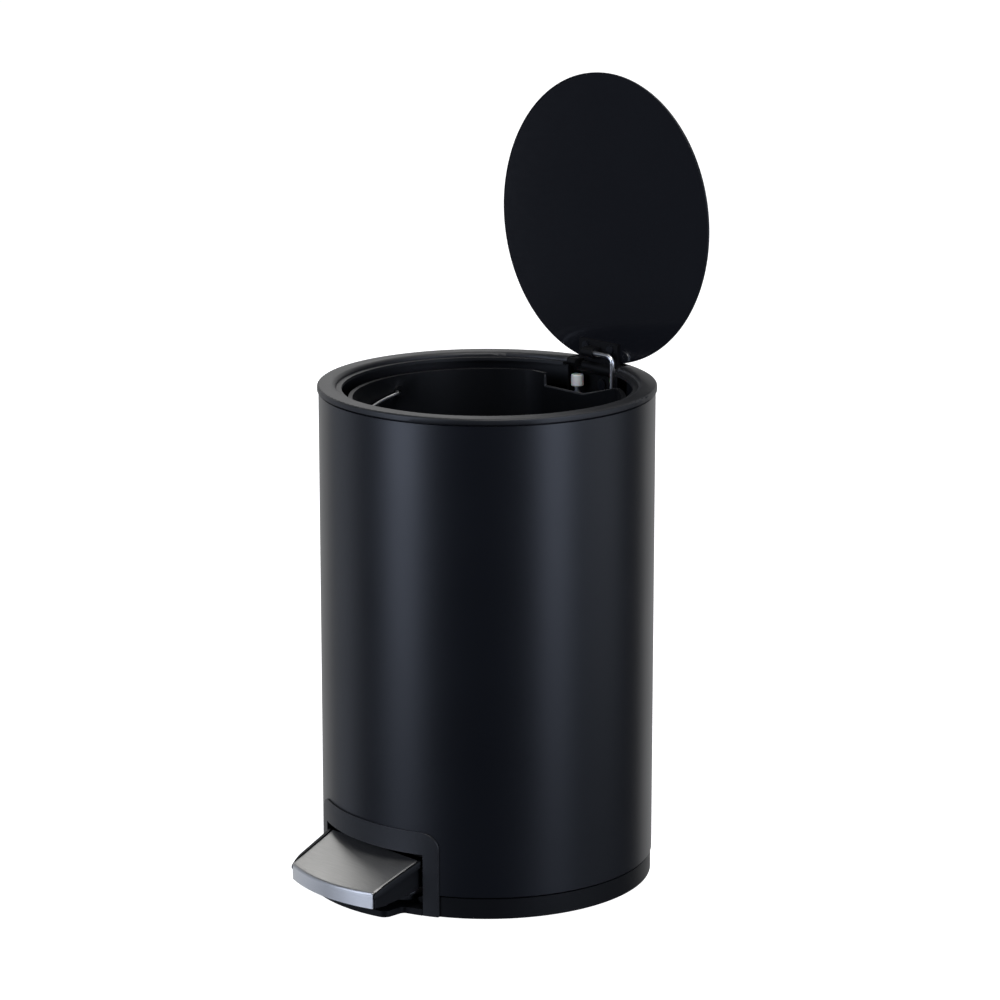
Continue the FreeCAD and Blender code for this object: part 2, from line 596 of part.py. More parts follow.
def pedal_body():
    """Moulded pedal under the steel: hollow wedge, two arms to the pivot and a web for the lever."""
    wedge = pedal_wedge("pedal_wedge", "size.tread_wall + size.contact_gap", "size.tread_lip + 0.3",
                        "-size.skirt_side", "size.tread_wall + size.contact_gap")
    hollow = pedal_wedge("pedal_hollow", "size.tread_wall + size.pedal_wall", "size.tread_lip - 2",
                         "(size.pedal_wall - size.skirt_side)", "size.tread_wall + size.pedal_wall",
                         "size.pedal_back - 1")
    hem = slab("pedal_hem", "YZ_Plane", [
        ("-size.pedal_front + 14", "size.tread_lip - 2"),
        ("-size.pedal_front + 14", "size.tread_lip + 0.8"),
        ("-size.pedal_back - 8", "size.tread_lip + 2.3"),
        ("-size.pedal_back + 1", "size.tread_lip + 5.2"),
        ("-size.pedal_back + 1", "size.tread_lip - 2"),
    ], "100")
    inner_top = "size.tread_wall + size.pedal_wall - 0.5"
    pieces = [cut("pedal_shell", wedge, [hollow, hem])]
    middle = "(size.arm_inner + size.arm_outer) / 2"
    for name, sign in (("left", "-"), ("right", "")):
        pieces.append(slab("pedal_arm_" + name, "YZ_Plane", [
            ("-100", "13"),
            ("-100", tread_height("100", inner_top)),
            ("-size.pedal_back", tread_height("size.pedal_back", inner_top)),
            ("-size.pivot_back - 10", "size.arm_high"),
            ("-size.pivot_back + 8", "size.arm_high"),
            ("-size.pivot_back + 20", "size.arm_low + 3"),
            ("-size.pivot_back + 20", "size.arm_low"),
            ("-size.pivot_back - 22", "size.arm_low"),
        ], "size.arm_outer - size.arm_inner", "%s(%s)" % (sign, middle)))
    pieces.append(slab("pedal_web", "YZ_Plane", [
        ("-size.pivot_back + 5", "size.arm_low"),
        ("-size.pivot_back + 5", lever_height("5 - size.pivot_back", "size.lever_wall")),
        ("-size.pivot_back + 20", lever_height("20 - size.pivot_back", "size.lever_wall")),
        ("-size.pivot_back + 20", "size.arm_low"),
    ], "2 * size.arm_outer - 1"))
    bore = cylinder("pedal_bore", "size.pivot_radius + size.shaft_gap", "2 * size.post_outer",
                    "-size.post_outer", "-size.pivot_back", "size.pivot_height", ALONG_X)
    holes = [cylinder("web_hole_%d" % i, "size.screw_hole", "12", "size.rod_side", y, "0")
             for i, y in enumerate(LEVER_SCREWS)]
    holes += pedal_wire_pair("wire_seat", "size.wire_radius + size.contact_gap / 2")
    node(cut("pedal_body", fuse("pedal_solid", pieces), [bore] + holes), "pedal_body")
    group("pedal_wires", pedal_wire_pair("pedal_wire", "size.wire_radius"))


def pedal_wire_pair(name, radius):
    """Steel wires along the outer sides of the pedal's arms."""
    return [cylinder("%s_%s" % (name, side), radius, "size.wire_front - size.wire_back",
                     "%ssize.wire_side" % sign, "-size.wire_front", "size.wire_height", ALONG_Y)
            for side, sign in (("left", "-"), ("right", ""))]


LEVER_SCREWS = ("9 - size.pivot_back", "16 - size.pivot_back")


def pedal_lever():
    """Flat steel strap from the pedal to the foot of the lift rod, with a slot for the rod."""
    start = "6 - size.pivot_back"
    end = "77"
    strap = slab("lever_strap", "YZ_Plane", [
        (start, lever_height(start, "size.lever_wall")),
        (end, lever_height(end, "size.lever_wall")),
        (end, lever_height(end)),
        (start, lever_height(start)),
    ], "2 * size.lever_half", "size.rod_side")
    room = "(size.rod_radius + 0.4)"
    slot = box("lever_slot", ("size.rod_side - " + room, "size.hinge_back - size.hook_ahead - 5.4", "0"),
               ("size.rod_side + " + room, "size.hinge_back - size.hook_ahead + 1.7", "30"))
    holes = [cylinder("strap_hole_%d" % i, "1.3", "30", "size.rod_side", y, "0")
             for i, y in enumerate(LEVER_SCREWS)]
    node(cut("pedal_lever", strap, [slot] + holes), "pedal_lever")
    group("lever_screws", [
        screw("lever_screw_%d" % i, "2.5", "1.2", "size.screw_hole", "4.5", "size.rod_side", y,
              "(%s + size.touch_gap)" % lever_height(y), True) for i, y in enumerate(LEVER_SCREWS)])


def pedal_pivot():
    """Steel pin of the pedal, its two clamps and their screws, and the stop pads."""
    pin = cylinder("pedal_pivot_pin", "size.pivot_radius", "2 * size.post_outer", "-size.post_outer",
                   "-size.pivot_back", "size.pivot_height", ALONG_X)
    node(pin, "pedal_pivot_pin")
    clamps = []
    for name, sign in (("left", -1), ("right", 1)):
        block = pivot_block("clamp_block_" + name, sign, "size.pivot_height + size.contact_gap",
                            "size.clamp_top")
        bore = cylinder("clamp_bore_" + name, "size.pivot_radius", "2 * size.post_outer + 10",
                        "-size.post_outer - 5", "-size.pivot_back", "size.pivot_height", ALONG_X)
        holes = [cylinder("clamp_hole_%s_%d" % (name, i), "size.screw_hole", "20", x, y, "0")
                 for i, (x, y) in enumerate(CLAMP_SCREWS) if (value(x) > 0) == (sign > 0)]
        clamps.append(cut("clamp_" + name, block, [bore] + holes))
    group("pivot_clamps", clamps)
    group("clamp_screws", [
        screw("clamp_screw_%d" % i, "2", "1.2", "size.screw_hole", "11", x, y, "size.clamp_top", True)
        for i, (x, y) in enumerate(CLAMP_SCREWS)])
    group("pedal_stop_pads", [
        cylinder("stop_pad_" + name, "3", "size.arm_low - size.floor_top - size.contact_gap",
                 "%s(size.arm_inner + size.arm_outer) / 2" % sign, "-size.pivot_back - 10", "size.floor_top")
        for name, sign in (("left", "-"), ("right", ""))])


# --- lid, hinge, lift rod and damper -------------------------------------------------------------

OPENED = FreeCAD.Rotation(FreeCAD.Vector(1, 0, 0), -value("size.lid_opening"))
LID_LOW = "(size.body_height - size.lid_drop - size.hinge_height)"


def on_hinge(thing, label):
    """Lid pieces are drawn closed about the hinge axis and turned open about it."""
    place(thing, "0", "size.hinge_back", "size.hinge_height", OPENED)
    thing.setExpression("Placement.Rotation.Angle", "-size.lid_opening * 1 deg")
    return node(thing, label)


def lid():
    """Thin round lid: steel skin with a turned-down edge, glossy liner inside it."""
    disc = cylinder("lid_disc", "size.lid_radius", "size.lid_thick", "0", "-size.hinge_back", LID_LOW)
    hollow = cylinder("lid_hollow", "size.lid_radius - size.lid_skin", "size.lid_thick - size.lid_skin",
                      "0", "-size.hinge_back", LID_LOW)
    skin = cut("lid_plate", disc, [hollow])
    on_hinge(skin, "lid_plate")
    sheet_disc = cylinder("liner_disc", "size.lid_radius - size.lid_skin - size.contact_gap",
                          "size.liner_thick", "0", "-size.hinge_back", LID_LOW)
    holes = [cylinder("liner_hole_%d" % i, "1.05", "5", x, ARM_SCREW_BACK, LID_LOW)
             for i, x in enumerate(ARM_SCREWS)]
    on_hinge(cut("lid_liner", sheet_disc, holes), "lid_liner")


ARM_SCREWS = ("-9", "9")
ARM_SCREW_BACK = "-11"

CLOSING = "(size.lid_opening * 1 deg)"
HOOK_BACK = "(-size.hook_ahead * cos(%s) - size.hook_above * sin(%s))" % (CLOSING, CLOSING)
HOOK_UP = "(-size.hook_ahead * sin(%s) + size.hook_above * cos(%s))" % (CLOSING, CLOSING)


def hinge_arm():
    """Moulded arm under the lid: plate, barrel on the hinge pin, lug for the rod, heel for the damper."""
    plate = box("arm_plate", ("-size.arm_half", "-size.arm_reach", "%s - size.arm_plate" % LID_LOW),
                ("size.arm_half", "-2.2", LID_LOW))
    barrel = cylinder("arm_barrel", "size.barrel_radius", "size.barrel_length", "-15.6", "0", "0", ALONG_X)
    lug_round = cylinder("lug_round", "size.lug_radius", "size.lug_left + size.lug_right", "-size.lug_left",
                         HOOK_BACK, HOOK_UP, ALONG_X)
    lug_block = box("lug_block", ("-size.lug_left", "%s - size.lug_radius" % HOOK_BACK, HOOK_UP),
                    ("size.lug_right", "%s + size.lug_radius" % HOOK_BACK, "%s - 1" % LID_LOW))
    heel_nose = cylinder("heel_nose", "size.heel_radius", "size.heel_width", "-size.heel_left",
                         HEEL_BACK, HEEL_UP, ALONG_X)
    heel_leg = box("heel_leg", ("-size.heel_left", "%s - size.heel_radius" % HEEL_BACK, HEEL_UP),
                   ("size.heel_width - size.heel_left", "%s + size.heel_radius" % HEEL_BACK, "0"))
    solid = fuse("arm_solid", [plate, barrel, lug_round, lug_block, heel_nose, heel_leg])
    bore = cylinder("arm_bore", "size.hinge_radius + size.shaft_gap", "40", "-20", "0", "0", ALONG_X)
    eye = cylinder("arm_eye", "size.rod_radius + size.shaft_gap", "20", "-10", HOOK_BACK, HOOK_UP, ALONG_X)
    holes = [cylinder("arm_hole_%d" % i, "size.screw_hole", "10", x, ARM_SCREW_BACK, "-5")
             for i, x in enumerate(ARM_SCREWS)]
    on_hinge(cut("hinge_arm", solid, [bore, eye] + holes), "hinge_arm")
    screws = doc.addObject("Part::Compound", "arm_screws")
    screws.Links = [screw("arm_screw_%d" % i, "2.2", "1", "1", "2.4", x, ARM_SCREW_BACK,
                          "(%s - size.arm_plate)" % LID_LOW, False) for i, x in enumerate(ARM_SCREWS)]
    on_hinge(screws, "arm_screws")


DAMPER_TRAVEL = "3"
HEEL_BACK = "(size.damper_back - size.hinge_back)"
HEEL_UP = "(size.cap_high - %s - size.hinge_height + size.touch_gap + size.heel_radius)" % DAMPER_TRAVEL


def hinge_bracket():
    """Bracket riveted inside the shell: back plate, two ears for the pin, clip for the damper."""
    plate = box("bracket_plate", ("-size.bracket_half", "size.bracket_front", "size.bracket_low"),
                ("size.bracket_half", "size.shell_radius", "size.bracket_top"))
    pieces = [plate]
    for name, sign in (("left", -1), ("right", 1)):
        inner = "(size.bracket_half - size.ear_wall)"
        low = pick(sign, "-size.bracket_half", inner)
        high = pick(sign, "-" + inner, "size.bracket_half")
        pieces.append(box("ear_block_" + name,
                          (low, "size.hinge_back - size.ear_radius", "size.damper_top + 2"),
                          (high, "size.bracket_front + 1", "size.hinge_height")))
        pieces.append(cylinder("ear_round_" + name, "size.ear_radius", "size.ear_wall", low,
                               "size.hinge_back", "size.hinge_height", ALONG_X))
    pieces.append(box("damper_clip", ("-size.bracket_half", "size.damper_back - 6.8", "size.damper_low + 6"),
                      ("-5.8", "size.bracket_front + 1", "size.damper_low + 14")))
    inside = cylinder("bracket_inside", "%s - size.fit_gap" % SHELL_INNER, "size.body_height")
    solid = common("bracket_solid", [fuse("bracket_pieces", pieces), inside])
    pin_hole = cylinder("ear_holes", "size.hinge_radius", "60", "-30", "size.hinge_back",
                        "size.hinge_height", ALONG_X)
    seat = cylinder("damper_seat", "size.damper_radius + size.contact_gap", "60", "-size.damper_side",
                    "size.damper_back", "size.damper_low - 5")
    holes = [rivet_hole("plate_hole_%d" % i, level) for i, level in enumerate(RIVET_LEVELS)]
    node(cut("hinge_bracket", solid, [pin_hole, seat] + holes), "hinge_bracket")
    rivets = []
    for i, level in enumerate(RIVET_LEVELS):
        shank = cylinder("rivet_shank_%d" % i, "size.rivet_radius", "size.shell_radius - size.bracket_front",
                         "0", "size.bracket_front", level, ALONG_Y)
        outer = cylinder("rivet_outer_%d" % i, "size.rivet_head", "size.rivet_dome", "0",
                         "size.shell_radius", level, ALONG_Y)
        inner = cylinder("rivet_inner_%d" % i, "size.rivet_head", "size.rivet_dome", "0",
                         "size.bracket_front - size.rivet_dome", level, ALONG_Y)
        rivets.append(fuse("rivet_%d" % i, [shank, outer, inner]))
    group("bracket_rivets", rivets)
    pin = cylinder("hinge_pin", "size.hinge_radius", "2 * size.bracket_half", "-size.bracket_half",
                   "size.hinge_back", "size.hinge_height", ALONG_X)
    node(pin, "hinge_pin")


def lift_rod():
    """Wire rod: straight leg in the back of the can, bent over at the top into the lid arm."""
    hook_height = "(size.hinge_height + size.hook_above)"
    back = "(size.hinge_back - size.hook_ahead)"
    leg = cylinder("rod_leg", "size.rod_radius", "%s - size.rod_bend - size.rod_low" % hook_height,
                   "size.rod_side", back, "size.rod_low")
    bend = doc.addObject("Part::Torus", "rod_corner")
    bend.setExpression("Radius1", "size.rod_bend")
    bend.setExpression("Radius2", "size.rod_radius")
    bend.Angle3 = 90
    place(bend, "size.rod_side - size.rod_bend", back, "%s - size.rod_bend" % hook_height,
          FreeCAD.Rotation(FreeCAD.Vector(1, 0, 0), 90))
    hook = cylinder("rod_hook", "size.rod_radius", "size.rod_side - size.rod_bend + 5", "-5", back,
                    hook_height, ALONG_X)
    node(fuse("lift_rod", [leg, bend, hook]), "lift_rod")
    disc = cylinder("clip_disc", "size.clip_radius", "size.clip_height", "size.rod_side", back, CLIP_LOW)
    bore = cylinder("clip_bore", "size.rod_radius", "10", "size.rod_side", back, "%s - 2" % CLIP_LOW)
    node(cut("rod_clip", disc, [bore]), "rod_clip")


CLIP_LOW = "(%s + size.touch_gap)" % lever_height("(size.hinge_back - size.hook_ahead + size.clip_radius)")


def damper():
    """Soft-close damper: cylinder in the bracket, thin rod and white nylon cap."""
    tube = cylinder("damper_tube", "size.damper_radius", "size.damper_top - size.damper_low",
                    "-size.damper_side", "size.damper_back", "size.damper_low")
    bore = cylinder("damper_bore", "size.damper_rod + size.shaft_gap", "20", "-size.damper_side",
                    "size.damper_back", "size.damper_top - 14")
    node(cut("damper_cylinder", tube, [bore]), "damper_cylinder")
    rod = cylinder("damper_rod", "size.damper_rod", "size.cap_low - size.damper_top + 10",
                   "-size.damper_side", "size.damper_back", "size.damper_top - 10")
    node(rod, "damper_rod")
    cap = doc.addObject("PartDesign::Body", "damper_cap")
    disc = new_sketch(cap, "XY_Plane")
    disc.addGeometry(Part.Circle(FreeCAD.Vector(), FreeCAD.Vector(0, 0, 1), value("size.cap_radius")), False)
    disc.addConstraint(Sketcher.Constraint("Coincident", 0, 3, -1, 1))
    radius = disc.addConstraint(Sketcher.Constraint("Radius", 0, value("size.cap_radius")))
    disc.setExpression("Constraints[%d]" % radius, "size.cap_radius")
    pad = cap.newObject("PartDesign::Pad", "cap_pad")
    pad.Profile = disc
    pad.setExpression("Length", "size.cap_high - size.cap_low")
    cap.Tip = pad
    round_edges(cap, "size.cap_round", lambda edge: edge.BoundBox.ZLength < 0.01)
    place(cap, "-size.damper_side", "size.damper_back", "size.cap_low")
    node(cap, "damper_cap")


# --- bucket and bail -----------------------------------------------------------------------------


def cone(name, low_radius, high_radius, low, high):
    body = doc.addObject("Part::Cone", name)
    body.setExpression("Radius1", low_radius)
    body.setExpression("Radius2", high_radius)
    body.setExpression("Height", "(%s) - (%s)" % (high, low))
    return place(body, "0", "0", low)


def inner_bucket():
    """Tapered bucket with a flat back whose rim is lowered for the hinge parts."""
    def half(name, reach):
        return box(name, ("-100", "-100", "0"), ("100", reach, "300"))

    wall = cone("bucket_cone", "size.bucket_low_radius", "size.bucket_top_radius", "size.bucket_low",
                "size.bucket_top")
    lip = cylinder("bucket_lip_disc", "size.bucket_top_radius + size.bucket_lip", "size.bucket_wall",
                   "0", "0", "size.bucket_top - size.bucket_wall")
    flat_wall = common("bucket_flat_cone", [wall, half("bucket_front", "size.bucket_flat")])
    flat_lip = common("bucket_flat_lip", [lip, half("lip_front", "size.bucket_flat + size.bucket_lip")])
    hollow = cone("bucket_hollow", "size.bucket_low_radius - size.bucket_wall",
                  "size.bucket_top_radius - size.bucket_wall", "size.bucket_low + size.bucket_wall",
                  "size.bucket_top + 0.01")
    inside = common("bucket_inside", [hollow, half("hollow_front", "size.bucket_flat - size.bucket_wall")])
    notch = slab("bucket_notch", "XZ_Plane", [
        ("-size.bucket_notch_left", "size.bucket_top + 2"),
        ("-size.bucket_notch_left", "size.notch_low"),
        ("size.bucket_notch_right", "size.notch_low"),
        ("size.bucket_notch_end", "size.bucket_top"),
        ("size.bucket_notch_end", "size.bucket_top + 2"),
    ], "10", "-size.bucket_flat")
    walls = cut("bucket_walls", fuse("bucket_outside", [flat_wall, flat_lip]), [inside, notch])
    in_wall = "(size.bucket_top_radius - size.bucket_wall / 2)"
    bosses = [cylinder("bail_boss_" + name, "size.boss_radius", in_wall + " - size.boss_inner", start, "0",
                       "size.bail_height", ALONG_X)
              for name, start in (("left", "-" + in_wall), ("right", "size.boss_inner"))]
    holes = cylinder("bail_holes", "size.bail_wire + size.shaft_gap", "160", "-80", "0",
                     "size.bail_height", ALONG_X)
    node(cut("inner_bucket", fuse("bucket_with_bosses", [walls] + bosses), [holes]), "inner_bucket")


def bail_handle():
    """Wire bail of the bucket, folded forward against the wall."""
    bow = doc.addObject("Part::Torus", "bail_bow")
    bow.setExpression("Radius1", "size.bail_radius")
    bow.setExpression("Radius2", "size.bail_wire")
    bow.Angle3 = 180
    folded = FreeCAD.Rotation(FreeCAD.Vector(1, 0, 0), value("size.bail_drop"))
    place(bow, "0", "0", "size.bail_height", folded.multiply(FreeCAD.Rotation(FreeCAD.Vector(0, 0, 1), 180)))
    tips = [cylinder("bail_tip_" + name, "size.bail_wire", "size.bail_end - size.bail_radius", start, "0",
                     "size.bail_height", ALONG_X)
            for name, start in (("left", "-size.bail_end"), ("right", "size.bail_radius"))]
    node(fuse("bail_handle", [bow] + tips), "bail_handle")


# --- build, check and write ----------------------------------------------------------------------

outer_shell()
rim_ring()
base_tray()
pedal_bezel()
base_deck()
base_fasteners()
pedal_cap()
pedal_body()
pedal_lever()
pedal_pivot()
lid()
hinge_arm()
hinge_bracket()
lift_rod()
damper()
inner_bucket()
bail_handle()
doc.recompute()

for thing in doc.Objects:
    if "Invalid" in thing.State or "Error" in thing.State:
        raise RuntimeError("%s did not build: %s" % (thing.Name, thing.State))
for thing in NODES:
    if thing.Shape.isNull() or not thing.Shape.isValid() or not thing.Shape.Solids:
        raise RuntimeError("%s has no sound shape" % thing.Label)

os.makedirs("parts", exist_ok=True)
for thing in NODES:
    thing.Shape.exportStep("parts/%s.step" % thing.Label)
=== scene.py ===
import json
import math

import bmesh
import bpy
from mathutils import Matrix, Vector


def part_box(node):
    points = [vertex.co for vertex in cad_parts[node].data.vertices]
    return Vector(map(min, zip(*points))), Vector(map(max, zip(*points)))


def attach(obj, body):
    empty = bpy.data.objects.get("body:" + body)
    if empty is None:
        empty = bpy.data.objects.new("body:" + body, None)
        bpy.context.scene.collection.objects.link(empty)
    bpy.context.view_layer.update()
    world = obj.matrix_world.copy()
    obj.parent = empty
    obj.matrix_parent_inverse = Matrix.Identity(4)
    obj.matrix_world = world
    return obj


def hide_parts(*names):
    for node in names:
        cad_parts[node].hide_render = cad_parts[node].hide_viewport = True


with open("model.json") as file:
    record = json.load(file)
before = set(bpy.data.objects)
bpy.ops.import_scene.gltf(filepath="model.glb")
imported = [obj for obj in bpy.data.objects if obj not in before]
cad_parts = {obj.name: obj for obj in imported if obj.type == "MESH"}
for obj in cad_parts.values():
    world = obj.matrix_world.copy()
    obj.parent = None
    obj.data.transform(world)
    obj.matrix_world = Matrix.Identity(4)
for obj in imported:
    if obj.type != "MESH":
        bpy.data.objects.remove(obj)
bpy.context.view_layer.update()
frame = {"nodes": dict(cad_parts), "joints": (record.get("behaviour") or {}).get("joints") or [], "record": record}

MM = 0.001
NODES = frame["nodes"]
JOINTS = {joint["name"]: joint for joint in frame["joints"]}

shell_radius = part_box("outer_shell")[1].x
ring_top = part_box("rim_ring")[1].z
hinge = Vector(JOINTS["lid_hinge"]["pos_m"])
lid_opening = math.radians(JOINTS["lid_hinge"]["range_deg"][1])
OPENED = Matrix.Translation(hinge) @ Matrix.Rotation(-lid_opening, 4, "X")


# --- materials -----------------------------------------------------------------------------------


def colour(hex_code):
    """sRGB hex to the linear colour that the shader wants."""
    parts = [int(hex_code[i:i + 2], 16) / 255 for i in (1, 3, 5)]
    return tuple(p / 12.92 if p <= 0.04045 else ((p + 0.055) / 1.055) ** 2.4 for p in parts) + (1.0,)


def add_node(tree, kind, links=None, **settings):
    """Add a node; settings name its properties or, failing that, its inputs; links feed its inputs."""
    node = tree.nodes.new(kind)
    for name, setting in settings.items():
        if hasattr(node, name):
            setattr(node, name, setting)
        else:
            node.inputs[name.replace("_", " ")].default_value = setting
    for name, source in (links or {}).items():
        tree.links.new(source, node.inputs[name])
    return node


def new_material(name, **shader):
    """A Principled material with its fixed numbers on the shader's own sockets."""
    material = bpy.data.materials.new(name)
    material.use_nodes = True
    tree = material.node_tree
    bsdf = tree.nodes["Principled BSDF"]
    for socket, number in shader.items():
        bsdf.inputs[socket.replace("_", " ")].default_value = number
    return material, tree, bsdf


def spread(tree, source, low, high, start=0.0, end=1.0):
    """Stretch a pattern's range to the numbers wanted."""
    ranged = add_node(tree, "ShaderNodeMapRange", {"Value": source}, From_Min=start, From_Max=end,
                      To_Min=low, To_Max=high)
    return ranged.outputs["Result"]


def two_tone(tree, source, dark, light):
    mixed = add_node(tree, "ShaderNodeMix", {"Factor": source}, data_type="RGBA")
    for socket, shade in ((mixed.inputs[6], dark), (mixed.inputs[7], light)):
        socket.default_value = colour(shade)
    return mixed.outputs[2]


def grain(tree, size_mm, detail=3.0, stretch=(1, 1, 1)):
    """Noise whose features are about size_mm across on the piece."""
    place = add_node(tree, "ShaderNodeTexCoord").outputs["Object"]
    mapped = add_node(tree, "ShaderNodeMapping", {"Vector": place}, Scale=stretch)
    noise = add_node(tree, "ShaderNodeTexNoise", {"Vector": mapped.outputs["Vector"]},
                     Scale=1 / (size_mm * MM), Detail=detail, Roughness=0.55)
    return noise.outputs["Fac"]


def bump(tree, bsdf, source, height_mm, strength=1.0):
    relief = add_node(tree, "ShaderNodeBump", {"Height": source}, Distance=height_mm * MM, Strength=strength)
    tree.links.new(relief.outputs["Normal"], bsdf.inputs["Normal"])


def powder_coat():
    """Black powder-coated steel, baked: satin sheen, fine even orange peel, faint cloudiness."""
    material, tree, bsdf = new_material("powder-coated steel", IOR=1.5, Metallic=0.0)
    cloud = grain(tree, 60, 2.0)
    peel = grain(tree, 0.9, 2.0)
    tree.links.new(two_tone(tree, cloud, "#06080e", "#080b12"), bsdf.inputs["Base Color"])
    tree.links.new(spread(tree, cloud, 0.34, 0.40), bsdf.inputs["Roughness"])
    bump(tree, bsdf, peel, 0.006, 0.35)
    return material


def moulded_abs(name, dark, light, sheen=0.5):
    """Black ABS from a spark-eroded mould: dull, very fine grain, rubbed a little smoother in places."""
    material, tree, bsdf = new_material(name, IOR=1.52, Metallic=0.0, Specular_IOR_Level=sheen)
    wear = grain(tree, 25, 3.0)
    spark = grain(tree, 0.5, 3.0)
    tree.links.new(two_tone(tree, wear, dark, light), bsdf.inputs["Base Color"])
    tree.links.new(spread(tree, wear, 0.42, 0.54), bsdf.inputs["Roughness"])
    bump(tree, bsdf, spark, 0.01, 0.4)
    return material


def shade_darkened_black_steel():
    """Black hinge pressings, their colour darkened further as painted shade under the rim ring: almost no sheen,
    slightly cloudy.
    """
    material, tree, bsdf = new_material("black steel darkened as painted shade", IOR=1.5, Metallic=0.0, Specular_IOR_Level=0.2)
    cloud = grain(tree, 6, 3.0)
    # The near-black tones are partly the hinge's own black and partly painted shade from the ring above.
    tree.links.new(two_tone(tree, cloud, "#040405", "#08080a"), bsdf.inputs["Base Color"])
    tree.links.new(spread(tree, cloud, 0.50, 0.62), bsdf.inputs["Roughness"])
    bump(tree, bsdf, grain(tree, 0.6), 0.006, 0.3)
    return material


def gloss_liner():
    """High-gloss polystyrene sheet: mirror-like black with a slow waviness and hairline scuffs."""
    material, tree, bsdf = new_material("gloss polystyrene", IOR=1.55, Metallic=0.0)
    wave = grain(tree, 45, 1.0)
    tree.links.new(two_tone(tree, wave, "#17181c", "#1a1b1f"), bsdf.inputs["Base Color"])
    tree.links.new(spread(tree, grain(tree, 8, 4.0, (1, 1, 5)), 0.05, 0.12), bsdf.inputs["Roughness"])
    bump(tree, bsdf, wave, 0.05, 0.25)
    return material


def bucket_plastic():
    """Black polypropylene, a shade greyer and waxier than the ABS, with faint flow marks."""
    material, tree, bsdf = new_material("polypropylene", IOR=1.49, Metallic=0.0,
                                        Specular_IOR_Level=0.3)
    flow = grain(tree, 18, 3.0, (1, 1, 0.25))
    tree.links.new(two_tone(tree, flow, "#07080a", "#0a0b0e"), bsdf.inputs["Base Color"])
    tree.links.new(spread(tree, flow, 0.34, 0.46), bsdf.inputs["Roughness"])
    bump(tree, bsdf, grain(tree, 0.7), 0.01, 0.3)
    return material


def brushed_steel():
    """Stainless tread brushed lengthwise: long fine scratches, and a paler lip below the fold that is a painted
    highlight.
    """
    material, tree, bsdf = new_material("brushed stainless steel", Metallic=1.0)
    lines = grain(tree, 0.35, 3.0, (0.02, 1, 1))
    smudge = grain(tree, 9, 3.0)
    place = add_node(tree, "ShaderNodeTexCoord").outputs["Object"]
    height = add_node(tree, "ShaderNodeSeparateXYZ", {"Vector": place}).outputs["Z"]
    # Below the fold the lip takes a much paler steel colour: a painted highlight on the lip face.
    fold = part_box("pedal_cap")[0].z + 7.6 * MM
    tone = add_node(tree, "ShaderNodeMix", {"Factor": spread(tree, height, 1.0, 0.0, fold - 1.2 * MM, fold)},
                    data_type="RGBA")
    tree.links.new(two_tone(tree, lines, "#a3a2a0", "#bdbcb9"), tone.inputs[6])
    tree.links.new(two_tone(tree, lines, "#eceae7", "#fbfaf7"), tone.inputs[7])
    tree.links.new(tone.outputs[2], bsdf.inputs["Base Color"])
    tree.links.new(spread(tree, smudge, 0.40, 0.48), bsdf.inputs["Roughness"])
    bump(tree, bsdf, lines, 0.012, 0.5)
    return material


def drawn_wire():
    """Bright galvanised drawn wire: smooth with faint die lines."""
    material, tree, bsdf = new_material("bright drawn wire", Metallic=1.0)
    lines = grain(tree, 0.4, 2.0, (1, 1, 0.05))
    tree.links.new(two_tone(tree, lines, "#d8d9da", "#eeeeed"), bsdf.inputs["Base Color"])
    tree.links.new(spread(tree, lines, 0.26, 0.36), bsdf.inputs["Roughness"])
    bump(tree, bsdf, lines, 0.004, 0.3)
    return material


def zinc_plate():
    """Zinc-plated steel of screws, pins and lever: pale, slightly mottled."""
    material, tree, bsdf = new_material("zinc-plated steel", Metallic=1.0)
    mottle = grain(tree, 2.5, 3.0)
    tree.links.new(two_tone(tree, mottle, "#9a9ea2", "#bcbfc2"), bsdf.inputs["Base Color"])
    tree.links.new(spread(tree, mottle, 0.48, 0.60), bsdf.inputs["Roughness"])
    bump(tree, bsdf, mottle, 0.01, 0.2)
    return material


def white_nylon():
    """Natural nylon: milky white, light soaks in a little, silky surface."""
    material, tree, bsdf = new_material("natural nylon", IOR=1.53, Metallic=0.0, Subsurface_Weight=0.25,
                                        Subsurface_Scale=0.002)
    bloom = grain(tree, 3, 2.0)
    tree.links.new(two_tone(tree, bloom, "#e9e9e4", "#f6f6f2"), bsdf.inputs["Base Color"])
    tree.links.new(spread(tree, bloom, 0.38, 0.5), bsdf.inputs["Roughness"])
    bump(tree, bsdf, bloom, 0.01, 0.2)
    return material


def soft_rubber():
    """Moulded rubber of ring and pads: dull, dusty black."""
    material, tree, bsdf = new_material("moulded rubber", IOR=1.52, Metallic=0.0)
    dust = grain(tree, 4, 4.0)
    tree.links.new(two_tone(tree, dust, "#131313", "#1f1f1f"), bsdf.inputs["Base Color"])
    tree.links.new(spread(tree, dust, 0.7, 0.88), bsdf.inputs["Roughness"])
    bump(tree, bsdf, dust, 0.02, 0.3)
    return material


COAT = powder_coat()
HINGE_BLACK_DARKENED_FOR_SHADE = shade_darkened_black_steel()
ABS = moulded_abs("moulded ABS", "#0e0f12", "#131417")
# A darker, less glossy copy of the ABS for the base shoe, pedal moulding and pedal rims: its darker colour is
# painted shade low on the can.
LOW_ABS_DARKENED_FOR_SHADE = moulded_abs("moulded ABS of base and pedal, darkened as painted shade", "#07080a", "#0b0c0f", 0.22)
GLOSS = gloss_liner()
PP = bucket_plastic()
TREAD = brushed_steel()
WIRE = drawn_wire()
ZINC = zinc_plate()
NYLON = white_nylon()
RUBBER = soft_rubber()

FINISHES = {
    "coated_steel": COAT, "black_plastic": ABS, "gloss_black": GLOSS, "brushed_steel": TREAD,
    "bright_steel": ZINC, "wire": WIRE, "white_nylon": NYLON, "rubber": RUBBER,
}
SLOT_OF = {part["node"]: part["material_slot"] for part in frame["record"]["subparts"]}
BODY_OF = {node: body for body, members in frame["record"]["behaviour"]["bodies"].items() for node in members}


# --- mesh helpers --------------------------------------------------------------------------------


